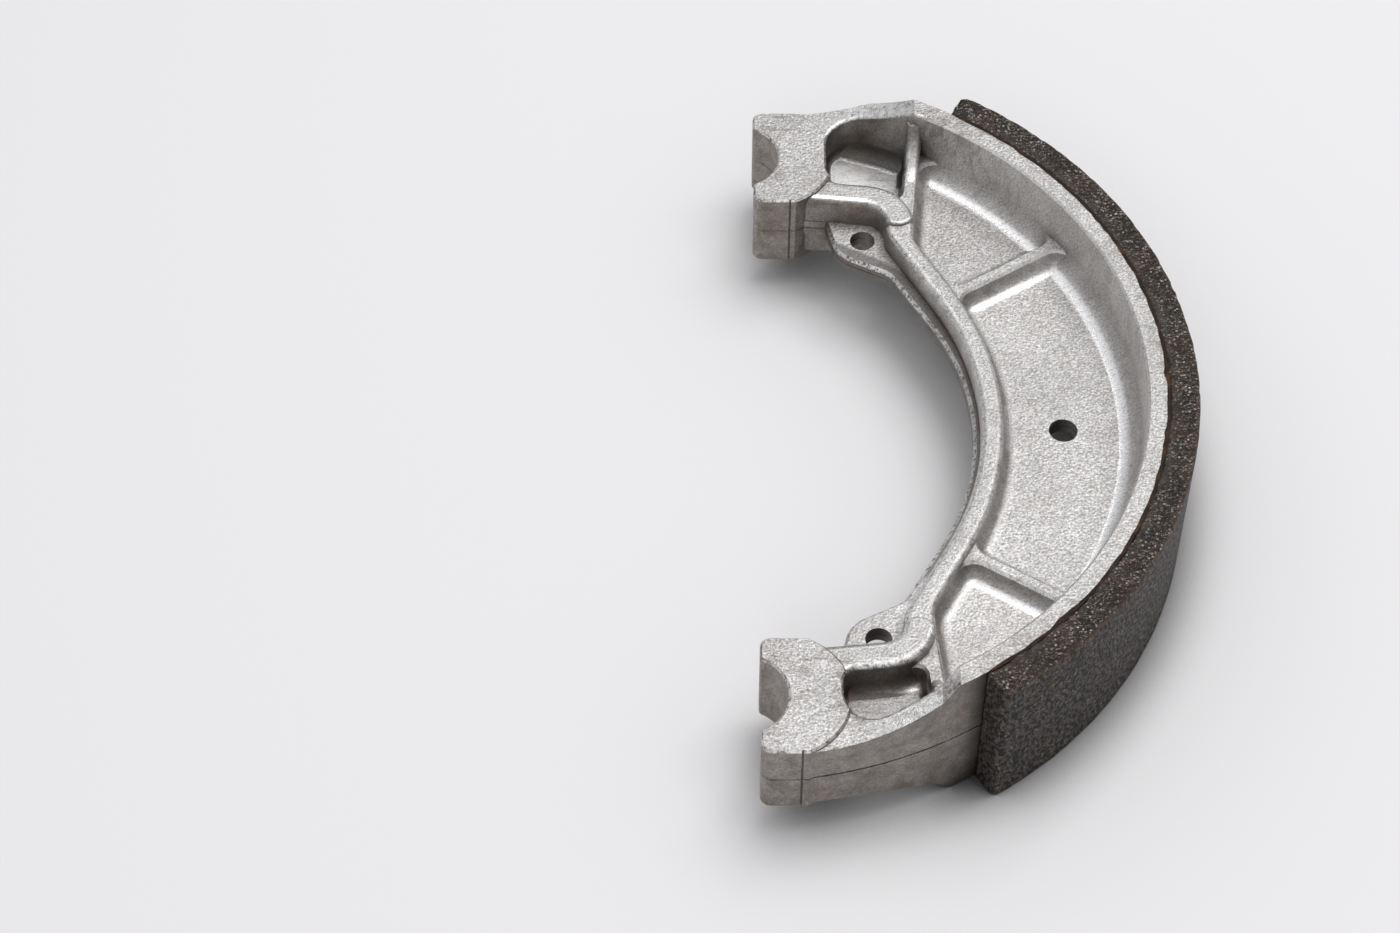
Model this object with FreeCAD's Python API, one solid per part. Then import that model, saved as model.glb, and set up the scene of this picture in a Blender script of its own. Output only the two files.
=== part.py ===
import FreeCAD, Part
import math
import os

# Brake shoe for a 130 x 25 mm drum, lying on its side face.
# Millimetres, Z up. The origin is the drum axis on the plane the shoe lies on.
# X runs from the drum axis towards the middle of the shoe, Y along its chord.

# Drum and lining
drum_radius = 65.0
lining_width = 25.0
lining_thickness = 4.15
lining_end_angle = 58.0
lining_corner_radius = 0.8
lining_edge_bevel = 0.25
film_thickness = 0.24
film_setback = 0.4
film_end_angle = 57.7

# Casting: rim (the table under the lining)
rim_setback = 0.1
rim_thickness = 2.9
rim_end_angle = 62.4
rim_edge_bevel = 0.3

# Casting: web and inner bead
casting_offset_y = -1.5
web_thickness = 2.8
bead_height = 5.5
bead_half_width = 1.6
bead_slope_deg = 28.5
bead_offset = (6.0, -3.3)
web_span = 21.56
bead_edge_radius = 1.2
ledge_step = 2.55
ledge_radius = 41.0
ledge_slope_deg = 30.0
floor_fillet = 2.4
rim_cove_radius = 3.4

# Casting: flange that wraps the spring hole at each end
flange_height = 6.1
flange_radius = 5.5
flange_half_width = 2.2
flange_exit_deg = 84.0
flange_edge_radius = 1.2
blend_radius = 5.0
land_end_radius = 2.6
land_front_radius = 0.58

# Casting: spring ears and holes
spring_hole_back = 9.33
spring_hole_inset = 12.65
spring_hole_radius = 1.88
ear_tip_offset = (-3.9, -2.75)
ear_tip_radius = 4.8
ear_edge_slope_deg = 27.0
ear_root_back = 5.55
ear_root_step = 0.5
ear_neck_gap = 0.2
ear_corner_radius = 3.0
ledge_edge_bevel = 0.5
centre_hole_step = 10.45
centre_hole_radius = 2.08

# Casting: end blocks with their pin notches
block_face_x = 2.3
block_inset = 11.16
block_half_width = 9.3
block_corner_radius = 1.5
block_height = 13.4
pad_overhang = 0.9
pad_centre_x = 4.5
pad_edge_bevel = 0.3
notch_radius = 6.1
notch_lip_radius = 0.8

# Casting: arms between the blocks and the rim
arm_start_x = 11.0
arm_start_height = {1: 6.3, -1: 6.1}
arm_knee_gap = {1: 2.8, -1: 1.7}
arm_knee_height = {1: 11.3, -1: 9.7}
ramp_length = {1: 1.5, -1: 2.2}
arm_sag = 0.9
arm_edge_radius = 0.6

# Casting: ribs and pockets
rib_half_width = 0.95
rib_height = 4.25
rib_edge_bevel = 0.4
rib_offset = (4.05, -7.6)
rib_slope_deg = 32.0
end_pocket_x = 13.4
end_rib_lean_deg = 84.3
end_rib_width = 2.4
end_pocket_floor = 0.6
end_pocket_fillet = 1.2
end_pocket_tip_radius = 1.4
end_pocket_cove_radius = 2.6
flange_cove_radius = 2.2
gusset_reach = 7.6
gusset_gap = 0.9
gusset_sag = 1.5
gusset_edge_radius = 1.0
pocket_corner_radius = 2.5
pocket_big_corner_radius = 4.2
above_all = 20.0

# Casting: parting groove left by the two halves of the die
groove_width = 0.3
groove_depth = 0.3
groove_end_x = 32.0
seam_x = 7.8

# Derived
mid_z = lining_width / 2
lining_inner_radius = drum_radius - lining_thickness
rim_outer_radius = lining_inner_radius - film_thickness
rim_inner_radius = rim_outer_radius - rim_thickness
rim_half_height = mid_z - rim_setback
web_half = web_thickness / 2
block_half = block_height / 2
rim_end_x = rim_outer_radius * math.cos(math.radians(rim_end_angle))
block_centre_y = rim_outer_radius - block_inset
block_outer_y = block_centre_y + block_half_width
block_inner_y = block_centre_y - block_half_width
pad_radius = block_half_width + pad_overhang
spring_hole = (rim_end_x - spring_hole_back, block_centre_y - spring_hole_inset)
ear_tip = (spring_hole[0] + ear_tip_offset[0], spring_hole[1] + ear_tip_offset[1])
ear_root = (spring_hole[0] - ear_root_back, block_inner_y + ear_root_step)
bead_middle_x = rim_inner_radius - web_span
bead_point = (spring_hole[0] + bead_offset[0], spring_hole[1] + bead_offset[1])
ledge_middle_x = bead_middle_x - ledge_step
centre_hole_x = bead_middle_x + centre_hole_step
rib_point = (bead_middle_x + rib_offset[0], spring_hole[1] + rib_offset[1])
join_x = notch_radius + 1.1
bead_slope = math.radians(bead_slope_deg)
ledge_slope = math.radians(ledge_slope_deg)
UP = FreeCAD.Vector(0, 0, 1)


def vec(x, y, z=0.0):
    return FreeCAD.Vector(x, y, z)


def arc(centre, radius, start, end):
    """Arc edge in the XY plane from one angle to another, in radians."""
    points = []
    for angle in (start, (start + end) / 2, end):
        points.append(vec(centre[0] + radius * math.cos(angle), centre[1] + radius * math.sin(angle)))
    return Part.Arc(*points).toShape()


def line(first, second):
    return Part.makeLine(vec(*first), vec(*second))


def on_circle(centre, radius, angle):
    return (centre[0] + radius * math.cos(angle), centre[1] + radius * math.sin(angle))


def prism(edges, bottom, top):
    """Upright solid over a closed outline drawn at z = 0."""
    face = Part.Face(Part.Wire(edges))
    face.translate(vec(0, 0, bottom))
    return face.extrude(vec(0, 0, top - bottom))


def polygon(points, bottom, top):
    edges = []
    for index, point in enumerate(points):
        edges.append(line(point, points[(index + 1) % len(points)]))
    return prism(edges, bottom, top)


def cylinder(x, y, radius, bottom, top):
    return Part.makeCylinder(radius, top - bottom, vec(x, y, bottom))


def mirrored_y(shape):
    """The same shape on the other side of y = 0."""
    return shape.mirror(vec(0, 0, 0), vec(0, 1, 0))


def upright_edges(shape):
    found = []
    for edge in shape.Edges:
        first = edge.Vertexes[0].Point
        last = edge.Vertexes[-1].Point
        level = math.hypot(first.x - last.x, first.y - last.y)
        if level < 1e-4 and abs(first.z - last.z) > 1e-3:
            found.append(edge)
    return found


def upright_edges_near(shape, spots, reach=0.4):
    """Upright edges of a prism that stand within reach of one of the given spots."""
    found = []
    for edge in upright_edges(shape):
        point = edge.Vertexes[0].Point
        if min(math.hypot(point.x - x, point.y - y) for x, y in spots) < reach:
            found.append(edge)
    return found


def middle_of(edge):
    return edge.valueAt((edge.FirstParameter + edge.LastParameter) / 2)


def level_edges(shape, height):
    """Edges that lie wholly in one level plane."""
    found = []
    for edge in shape.Edges:
        box = edge.BoundBox
        if abs(box.ZMin - height) < 1e-4 and abs(box.ZMax - height) < 1e-4:
            found.append(edge)
    return found


def edges_touching(edges, solids):
    """The edges whose middle lies on the skin of one of the solids."""
    found = []
    for edge in edges:
        vertex = Part.Vertex(middle_of(edge))
        if min(solid.distToShape(vertex)[0] for solid in solids) < 1e-4:
            found.append(edge)
    return found


def sharp_upright_edges(shape, least_deg=25.0):
    """Upright edges of a prism where two side walls meet at a clear angle."""
    found = []
    for edge in upright_edges(shape):
        walls = shape.ancestorsOfType(edge, Part.Face)
        point = edge.Vertexes[0].Point
        normals = []
        for wall in walls:
            u, v = wall.Surface.parameter(point)
            normals.append(wall.normalAt(u, v))
        turn = math.degrees(normals[0].getAngle(normals[1]))
        if turn > least_deg:
            found.append(edge)
    return found


def meet(first, first_angle, second, second_angle):
    """Point where two lines cross, each given by a point and a direction in radians."""
    ax, ay = math.cos(first_angle), math.sin(first_angle)
    bx, by = math.cos(second_angle), math.sin(second_angle)
    dx, dy = second[0] - first[0], second[1] - first[1]
    reach = (dx * by - dy * bx) / (ax * by - ay * bx)
    return (first[0] + reach * ax, first[1] + reach * ay)


def line_to_circle(point, angle, centre_y, radius):
    """Where a line from a point meets a circle whose centre is (0, centre_y)."""
    ax, ay = math.cos(angle), math.sin(angle)
    px, py = point[0], point[1] - centre_y
    along = px * ax + py * ay
    reach = -along + math.sqrt(along ** 2 - px ** 2 - py ** 2 + radius ** 2)
    return (point[0] + reach * ax, point[1] + reach * ay)


# The casting is drawn in its own frame: y is measured from its plane of symmetry and
# z from its mid-plane. The drum axis stands at y = drum_y in that frame.
drum_y = -casting_offset_y
bead_normal = (math.cos(bead_slope), math.sin(bead_slope))
bead_distance = bead_normal[0] * bead_point[0] + bead_normal[1] * bead_point[1]
bead_arc_x = (bead_distance - bead_middle_x) / (bead_normal[0] - 1)
bead_arc_radius = bead_middle_x - bead_arc_x


def band_edge(offset, flange_offset, end_x):
    """One edge of the bead and flange, from y = 0 round the spring hole to the block.

    Arc, tangent line, reversed blend arc, arc about the spring hole, straight end.
    The second value is the angle where the arc about the spring hole starts.
    """
    radius = flange_radius + flange_offset
    hole_distance = bead_normal[0] * spring_hole[0] + bead_normal[1] * spring_hole[1]
    gap = bead_distance + offset - hole_distance
    swing = math.acos((gap + blend_radius) / (radius + blend_radius))
    start = bead_slope - swing
    blend_centre = on_circle(spring_hole, radius + blend_radius, start)
    middle_radius = bead_arc_radius + offset
    line_start = on_circle((bead_arc_x, 0), middle_radius, bead_slope)
    line_end = on_circle(blend_centre, blend_radius, bead_slope + math.pi)
    exit_angle = math.radians(flange_exit_deg)
    exit_point = on_circle(spring_hole, radius, exit_angle)
    last = (end_x, exit_point[1] + (exit_point[0] - end_x) / math.tan(exit_angle))
    edges = [arc((bead_arc_x, 0), middle_radius, 0, bead_slope)]
    edges.append(line(line_start, line_end))
    edges.append(arc(blend_centre, blend_radius, bead_slope + math.pi, start + math.pi))
    edges.append(arc(spring_hole, radius, start, exit_angle))
    edges.append(line(exit_point, last))
    return edges, start, last


def band(height, edge_radius):
    """The bead with its two flanges, from block to block, with rounded top edges."""
    outer, start, outer_last = band_edge(bead_half_width, flange_half_width, join_x)
    inner, start, inner_last = band_edge(-bead_half_width, -flange_half_width, join_x)
    edges = outer + inner
    edges = edges + mirrored_edges(edges)
    for side in (1, -1):
        first = (outer_last[0], side * outer_last[1])
        edges.append(line(first, (inner_last[0], side * inner_last[1])))
    solid = prism(Part.sortEdges(edges)[0], 0, height)
    rounded = []
    for edge in level_edges(solid, height):
        if middle_of(edge).x > join_x + 0.01:
            rounded.append(edge)
    return solid.makeFillet(edge_radius, rounded)


def inside_band(offset, flange_offset, bottom, top):
    """Everything on the drum axis side of one edge of the bead and flange."""
    edges, start, last = band_edge(offset, flange_offset, join_x)
    edges.append(line(last, (-20, last[1])))
    edges.append(line((-20, last[1]), (-20, 0)))
    edges.append(line((-20, 0), (bead_middle_x + offset, 0)))
    half = prism(edges, bottom, top)
    return half.fuse(mirrored_y(half)).removeSplitter()


def mirrored_edges(edges):
    return [mirrored_y(edge) for edge in edges]


def rim_arc(first, last):
    """Arc of the rim's inner wall between two points, on the far side from the axis."""
    angles = [math.atan2(point[1] - drum_y, point[0]) for point in (first, last)]
    return arc((0, drum_y), rim_inner_radius, angles[0], angles[1])


def flange_inner_y(x):
    """The flange's inner edge on its straight run into the block."""
    exit_angle = math.radians(flange_exit_deg)
    point = on_circle(spring_hole, flange_radius - flange_half_width, exit_angle)
    return point[1] + (point[0] - x) / math.tan(exit_angle)


def channel(bottom, top):
    """Space between the bead, the flanges and the rim, from block to block."""
    edges, start, last = band_edge(bead_half_width, flange_half_width, end_pocket_x)
    edges = edges + mirrored_edges(edges)
    corners = []
    for side in (1, -1):
        wall_y = drum_y + side * math.sqrt(rim_inner_radius ** 2 - end_pocket_x ** 2)
        edges.append(line((end_pocket_x, side * last[1]), (end_pocket_x, wall_y)))
        corners.append((end_pocket_x, wall_y))
    edges.append(rim_arc(corners[1], corners[0]))
    space = prism(Part.sortEdges(edges)[0], bottom, top)
    flange_corners = [(end_pocket_x, last[1]), (end_pocket_x, -last[1])]
    space = space.makeFillet(pocket_big_corner_radius, upright_edges_near(space, corners))
    return space.makeFillet(pocket_corner_radius, upright_edges_near(space, flange_corners))


def end_rib_line():
    """Point and direction of the web side of the end rib, tangent to the flange."""
    lean = math.radians(end_rib_lean_deg)
    radius = flange_radius + flange_half_width
    return on_circle(spring_hole, radius, lean - math.pi / 2), lean


def web_pockets(bottom, top):
    """The three pockets of the web, parted by the two radial ribs."""
    edges, start, last = band_edge(bead_half_width, flange_half_width, end_pocket_x)
    foot, lean = end_rib_line()
    radius = flange_radius + flange_half_width
    edges = edges[:3] + [arc(spring_hole, radius, start, lean - math.pi / 2)]
    edges = edges + mirrored_edges(edges)
    tops = []
    for side in (1, -1):
        hit = line_to_circle(foot, lean, side * drum_y, rim_inner_radius)
        tops.append((hit[0], side * hit[1]))
        edges.append(line((foot[0], side * foot[1]), tops[-1]))
    edges.append(rim_arc(tops[1], tops[0]))
    space = prism(Part.sortEdges(edges)[0], bottom, top)
    for side in (1, -1):
        space = space.cut(radial_rib(side, bottom, top))
    pockets = []
    for pocket in space.Solids:
        pocket = pocket.makeFillet(pocket_corner_radius, sharp_upright_edges(pocket))
        pockets.append(pocket.makeFillet(floor_fillet, level_edges(pocket, bottom)))
    return pockets


def radial_rib(side, bottom, top):
    angle = math.radians(rib_slope_deg)
    along = (math.cos(angle), math.sin(angle))
    points = []
    for reach, across in ((-12, -1), (28, -1), (28, 1), (-12, 1)):
        offset = across * rib_half_width
        x = rib_point[0] + reach * along[0] - offset * along[1]
        y = rib_point[1] + reach * along[1] + offset * along[0]
        points.append((x, side * y))
    return polygon(points, bottom, top)


def end_pocket(side, bottom, top):
    """Pocket between the flange, the end rib and the arm, with a tight corner at the flange."""
    foot, lean = end_rib_line()
    near = (foot[0] - end_rib_width, foot[1])
    far = meet(near, lean, (0, block_outer_y + 10), 0)
    points = [(0, foot[1]), near, far, (0, far[1])]
    area = polygon([(x, side * y) for x, y in points], bottom, top)
    space = channel(bottom, top).common(area)
    tip = end_pocket_tip()
    tips = upright_edges_near(space, [(tip[0], side * tip[1])])
    space = space.makeFillet(end_pocket_tip_radius, tips)
    space = space.makeFillet(pocket_corner_radius, sharp_upright_edges(space))
    return space.makeFillet(end_pocket_fillet, level_edges(space, bottom))


def end_pocket_tip():
    """Corner of the end pocket where the end rib runs into the flange."""
    foot, lean = end_rib_line()
    swing = math.acos(1 - end_rib_width / (flange_radius + flange_half_width))
    return on_circle(spring_hole, flange_radius + flange_half_width, lean - math.pi / 2 + swing)


def cove_section(wall, outward, floor, radius):
    """Section of a hollow rounding between an upright wall and a level floor, at y = 0."""
    foot = wall + outward * radius
    back = wall - outward * 0.5
    middle = radius * (1 - math.sqrt(0.5))
    points = [(back, 0), (foot, 0), (foot, floor), (wall, floor + radius), (back, floor + radius)]
    spots = [vec(x, 0, z) for x, z in points]
    edges = [Part.makeLine(spots[0], spots[1]), Part.makeLine(spots[1], spots[2])]
    curve = Part.Arc(spots[2], vec(wall + outward * middle, 0, floor + middle), spots[3])
    edges.append(curve.toShape())
    edges += [Part.makeLine(spots[3], spots[4]), Part.makeLine(spots[4], spots[0])]
    return Part.Face(Part.Wire(edges))


def turned_cove(centre, section, start, end):
    """Section swept about an upright axis from one angle to another, in radians."""
    section.rotate(vec(0, 0, 0), UP, math.degrees(start))
    solid = section.revolve(vec(0, 0, 0), UP, math.degrees(end - start))
    solid.translate(vec(centre[0], centre[1], 0))
    return solid


def rim_cove():
    """Wide rounding between the web and the rim's wall, from one end rib to the other."""
    middles = []
    foot, lean = end_rib_line()
    near = (foot[0] - end_rib_width / 2, foot[1])
    for side in (1, -1):
        hit = line_to_circle(near, lean, side * drum_y, rim_inner_radius)
        middles.append(math.atan2(side * hit[1] - drum_y, hit[0]))
    section = cove_section(rim_inner_radius, -1, web_half, rim_cove_radius)
    return turned_cove((0, drum_y), section, middles[1], middles[0])


def end_pocket_coves(side):
    """Wide roundings on the floor of the end pocket, along the arm and along the flange."""
    foot, lean = end_rib_line()
    near = (foot[0] - end_rib_width / 2, foot[1])
    hit = line_to_circle(near, lean, side * drum_y, rim_inner_radius)
    first = math.atan2(hit[1] - side * drum_y, hit[0])
    last = math.acos(end_pocket_x / rim_inner_radius)
    section = cove_section(rim_inner_radius, -1, end_pocket_floor, end_pocket_cove_radius)
    arm_cove = turned_cove((0, side * drum_y), section, first, last)
    tip = end_pocket_tip()
    start = math.atan2(tip[1] - spring_hole[1], tip[0] - spring_hole[0])
    wall = flange_radius + flange_half_width
    section = cove_section(wall, 1, end_pocket_floor, flange_cove_radius)
    flange_cove = turned_cove(spring_hole, section, start, math.radians(flange_exit_deg))
    section = cove_section(wall, 1, end_pocket_floor, flange_cove_radius)
    section.rotate(vec(0, 0, 0), UP, flange_exit_deg)
    along = math.radians(flange_exit_deg + 90)
    reach = spring_hole[0] - end_pocket_x
    straight = section.extrude(vec(reach * math.cos(along), reach * math.sin(along)))
    straight.translate(vec(spring_hole[0], spring_hole[1]))
    solid = arm_cove.fuse([flange_cove, straight])
    solid = solid.common(channel(0, above_all))
    if side < 0:
        solid = mirrored_y(arm_cove).fuse([mirrored_y(flange_cove), mirrored_y(straight)])
        solid = solid.common(channel(0, above_all))
    return solid


def inner_opening(bottom, top):
    """Open space inside the shoe: the ledge, the two spring ears and the block sides."""
    arc_x = ledge_middle_x - ledge_radius
    ledge_end = on_circle((arc_x, 0), ledge_radius, ledge_slope)
    corner = meet(ledge_end, ledge_slope + math.pi / 2, ear_tip, -math.radians(ear_edge_slope_deg))
    edges = [arc((arc_x, 0), ledge_radius, 0, ledge_slope)]
    neck = (join_x + 1, flange_inner_y(join_x + 1) - ear_neck_gap)
    stops = [ledge_end, corner, ear_tip, ear_root, neck, (neck[0], block_inner_y)]
    stops += [(-20, block_inner_y), (-20, 0), (ledge_middle_x, 0)]
    for first, last in zip(stops, stops[1:]):
        edges.append(line(first, last))
    half = prism(edges, bottom, top)
    half = half.makeFillet(ear_corner_radius, upright_edges_near(half, [corner]))
    half = half.makeFillet(ear_tip_radius, upright_edges_near(half, [ear_tip]))
    return half.fuse(mirrored_y(half)).removeSplitter()


def outer_region(bottom, top):
    """The drum circle of the casting, cut off along the sides of the end blocks."""
    disc = cylinder(0, drum_y, rim_outer_radius, bottom, top)
    box = Part.makeBox(80, 2 * block_outer_y, top - bottom, vec(join_x, -block_outer_y, bottom))
    return disc.common(box)


def block(side, top):
    """End block: rounded square end with the pin notch, and a round spot face behind it."""
    centre_y = side * block_centre_y
    low_y = centre_y - block_half_width
    side_x = math.sqrt(pad_radius ** 2 - block_half_width ** 2)
    length = pad_centre_x + side_x - block_face_x
    end = Part.makeBox(length, 2 * block_half_width, top, vec(block_face_x, low_y, 0))
    corners = [(block_face_x, low_y), (block_face_x, low_y + 2 * block_half_width)]
    end = end.makeFillet(block_corner_radius, upright_edges_near(end, corners))
    end = end.cut(cylinder(0, centre_y, notch_radius, 0, top))
    reach = math.sqrt(notch_radius ** 2 - block_face_x ** 2)
    lips = [(block_face_x, centre_y + reach), (block_face_x, centre_y - reach)]
    end = end.makeFillet(notch_lip_radius, upright_edges_near(end, lips))
    disc = cylinder(pad_centre_x, centre_y, pad_radius, 0, top)
    behind = Part.makeBox(40, 2 * block_half_width, top, vec(join_x, low_y, 0))
    solid = end.fuse(disc.common(behind)).removeSplitter().cut(channel(0, top))
    return solid.makeChamfer(pad_edge_bevel, level_edges(solid, top))


def above_arm(side):
    """Space above one arm: level at the block, a hollow curve up to a knee, a ramp to the rim."""
    height = arm_start_height[side]
    knee = (rim_end_x - arm_knee_gap[side], arm_knee_height[side])
    middle = ((arm_start_x + knee[0]) / 2, (height + knee[1]) / 2 - arm_sag)
    ramp_end = knee[0] + ramp_length[side]
    far_x = rim_end_x + 5
    spots = [(0, height), (arm_start_x, height), knee, (ramp_end, rim_half_height),
             (far_x, rim_half_height), (far_x, above_all + 1), (0, above_all + 1)]
    points = [vec(x, 0, z) for x, z in spots]
    edges = [Part.makeLine(points[0], points[1])]
    edges.append(Part.Arc(points[1], vec(middle[0], 0, middle[1]), points[2]).toShape())
    for first, last in zip(points[2:], points[3:] + points[:1]):
        edges.append(Part.makeLine(first, last))
    profile = Part.Face(Part.Wire(edges))
    return profile.extrude(vec(0, side * 80, 0))


def root_space(side):
    """Space by the inner half of one end block that is left to the root of the flange."""
    far_x = end_pocket_x + pocket_corner_radius + 1
    area = [(0, 0), (far_x, 0), (far_x, side * block_centre_y), (0, side * block_centre_y)]
    return polygon(area, 0, above_all)


def end_frame(side):
    """Arm with the solid corner behind the block, round the end pocket."""
    solid = outer_region(0, above_all)
    area = [(0, 0), (rim_end_x, 0), (rim_end_x, side * 80), (0, side * 80)]
    solid = solid.common(polygon(area, 0, above_all))
    space = channel(0, above_all)
    solid = solid.cut(inside_band(bead_half_width, flange_half_width, 0, above_all))
    solid = solid.cut(space).cut(above_arm(side))
    mouth = []
    for edge in edges_touching(solid.Edges, [space]):
        low = min(vertex.Point.z for vertex in edge.Vertexes)
        if low > arm_start_height[side] - 0.01:
            mouth.append(edge)
    solid = solid.makeFillet(arm_edge_radius, mouth)
    return solid.cut(root_space(side))


def flange_root(side):
    """Level metal that carries the flange into the block, round the corner of the end pocket."""
    far_x = end_pocket_x + pocket_corner_radius
    area = [(join_x, 0), (far_x, 0), (far_x, side * block_centre_y), (join_x, side * block_centre_y)]
    space = channel(0, flange_height)
    solid = outer_region(0, flange_height).common(polygon(area, 0, flange_height))
    solid = solid.cut(inside_band(0, 0, 0, flange_height)).cut(space)
    mouth = edges_touching(level_edges(solid, flange_height), [space])
    return solid.makeFillet(flange_edge_radius, mouth)


def rim():
    """The table under the lining, its inner top edge eased, its ends ramped down to the arms."""
    solid = outer_region(0, rim_half_height).cut(cylinder(0, drum_y, rim_inner_radius, 0, above_all))
    solid = solid.common(Part.makeBox(80, 200, above_all, vec(rim_end_x, -100, 0)))
    wall = cylinder(0, drum_y, rim_inner_radius, 0, above_all)
    eased = edges_touching(level_edges(solid, rim_half_height), [wall])
    return solid.makeChamfer(rim_edge_bevel, eased).cut([above_arm(1), above_arm(-1)])


def web_floor():
    """Ribs and floor roundings between the bead and the rim."""
    solid = cylinder(0, drum_y, rim_inner_radius + rim_thickness / 2, 0, rib_height)
    solid = solid.cut(inside_band(0, 0, 0, rib_height))
    solid = solid.common(Part.makeBox(80, 200, rib_height, vec(join_x, -100, 0)))
    pockets = web_pockets(web_half, rib_height)
    pockets += [end_pocket(side, end_pocket_floor, rib_height) for side in (1, -1)]
    for pocket in pockets:
        solid = solid.cut(pocket)
    mouths = edges_touching(level_edges(solid, rib_height), pockets)
    return solid.makeChamfer(rib_edge_bevel, mouths)


def web_plate():
    """The web with the two spring ears, its open inner edge eased."""
    opening = inner_opening(0, web_half)
    plate = outer_region(0, web_half).cut(opening)
    plate = plate.cut([end_pocket(side, end_pocket_floor, rib_height) for side in (1, -1)])
    eased = []
    for edge in edges_touching(level_edges(plate, web_half), [opening]):
        if abs(middle_of(edge).y) < ear_root[1]:
            eased.append(edge)
    return plate.makeChamfer(ledge_edge_bevel, eased)


def land(side):
    """The raised flange end, with a round front over the bead."""
    solid = band(flange_height, flange_edge_radius)
    centre = on_circle(spring_hole, flange_radius, math.radians(20))
    area = [(0, side * centre[1]), (80, side * centre[1]), (80, side * 80), (0, side * 80)]
    front = cylinder(centre[0], side * centre[1], land_end_radius, 0, above_all)
    zone = polygon(area, 0, above_all).fuse(front)
    solid = solid.common(zone)
    edge = edges_touching(level_edges(solid, flange_height), [front])
    return solid.makeFillet(land_front_radius, edge)


def gusset(side):
    """Hollow web along the end rib, rising from the flange to just under the arm's knee."""
    foot, lean = end_rib_line()
    hit = line_to_circle(foot, lean, side * drum_y, rim_inner_radius)
    low, high = rib_height, arm_knee_height[side] - gusset_gap
    first = vec(-gusset_reach, 0, low)
    middle = vec(-gusset_reach / 2 + gusset_sag, 0, (low + high) / 2 - gusset_sag)
    last = vec(0, 0, high)
    corners = [last, vec(1.5, 0, high), vec(1.5, 0, 0), vec(-gusset_reach, 0, 0), first]
    edges = [Part.Arc(first, middle, last).toShape()]
    edges += [Part.makeLine(start, end) for start, end in zip(corners, corners[1:])]
    plate = Part.Face(Part.Wire(edges)).extrude(vec(0, end_rib_width, 0))
    hollow = [edge for edge in plate.Edges if abs(edge.Length - edges[0].Length) < 1e-6]
    plate = plate.makeFillet(gusset_edge_radius, hollow)
    plate.rotate(vec(0, 0, 0), UP, end_rib_lean_deg)
    plate.translate(vec(hit[0], hit[1], 0))
    if side < 0:
        plate = mirrored_y(plate)
    return plate


def half_casting():
    """One half of the casting, from its mid-plane up."""
    pieces = [web_floor(), band(bead_height, bead_edge_radius), rim(), rim_cove()]
    for side in (1, -1):
        pieces += [land(side), end_frame(side), flange_root(side), gusset(side)]
        pieces += [end_pocket_coves(side), block(side, block_half)]
    return web_plate().fuse(pieces).removeSplitter()


def parting_grooves():
    """Fine groove round each arm at mid height, met by an upright seam on the block."""
    half = groove_width / 2
    ring = cylinder(0, drum_y, rim_outer_radius + 2, -half, half)
    ring = ring.cut(cylinder(0, drum_y, rim_outer_radius - groove_depth, -half, half))
    cuts = []
    for side in (1, -1):
        area = [(seam_x, 0), (groove_end_x, 0), (groove_end_x, side * 80), (seam_x, side * 80)]
        cuts.append(ring.common(polygon(area, -half, half)))
        for low, high in ((block_outer_y - groove_depth, block_outer_y + 2),
                          (block_inner_y - 2, block_inner_y + groove_depth)):
            area = [(seam_x - half, side * low), (seam_x + half, side * low),
                    (seam_x + half, side * high), (seam_x - half, side * high)]
            cuts.append(polygon(area, -above_all, above_all))
    area = [(seam_x, block_outer_y - groove_depth), (groove_end_x, block_outer_y - groove_depth),
            (groove_end_x, block_outer_y + 2), (seam_x, block_outer_y + 2)]
    cuts.append(polygon(area, -half, half))
    return cuts


def shoe_casting():
    upper = half_casting()
    lower = upper.mirror(vec(0, 0, 0), vec(0, 0, 1))
    body = upper.fuse(lower).removeSplitter()
    holes = [cylinder(centre_hole_x, 0, centre_hole_radius, -above_all, above_all)]
    for side in (1, -1):
        x, y = spring_hole
        holes.append(cylinder(x, side * y, spring_hole_radius, -above_all, above_all))
    body = body.cut(holes + parting_grooves())
    body.translate(vec(0, casting_offset_y, mid_z))
    return body.Solids[0]


def ring_sector(inner, outer, half_angle, bottom, top):
    """Part of a ring about the drum axis, its ends cut along radii."""
    angle = math.radians(half_angle)
    edges = [arc((0, 0), outer, -angle, angle), arc((0, 0), inner, -angle, angle)]
    for sign in (1, -1):
        corner = on_circle((0, 0), outer, sign * angle)
        edges.append(line(on_circle((0, 0), inner, sign * angle), corner))
    return prism(Part.sortEdges(edges)[0], bottom, top)


def friction_lining():
    solid = ring_sector(lining_inner_radius, drum_radius, lining_end_angle, 0, lining_width)
    angle = math.radians(lining_end_angle)
    corners = [on_circle((0, 0), drum_radius, sign * angle) for sign in (1, -1)]
    solid = solid.makeFillet(lining_corner_radius, upright_edges_near(solid, corners))
    outside = []
    for edge in level_edges(solid, lining_width) + level_edges(solid, 0):
        point = middle_of(edge)
        if math.hypot(point.x, point.y) > drum_radius - lining_corner_radius:
            outside.append(edge)
    return solid.makeChamfer(lining_edge_bevel, outside).Solids[0]


def adhesive_film():
    return ring_sector(rim_outer_radius, lining_inner_radius, film_end_angle,
                       film_setback, lining_width - film_setback)


if __name__ == "__main__":
    os.makedirs("parts", exist_ok=True)
    shoe_casting().exportStep("parts/shoe_casting.step")
    friction_lining().exportStep("parts/friction_lining.step")
    adhesive_film().exportStep("parts/adhesive_film.step")
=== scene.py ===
import math

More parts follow.
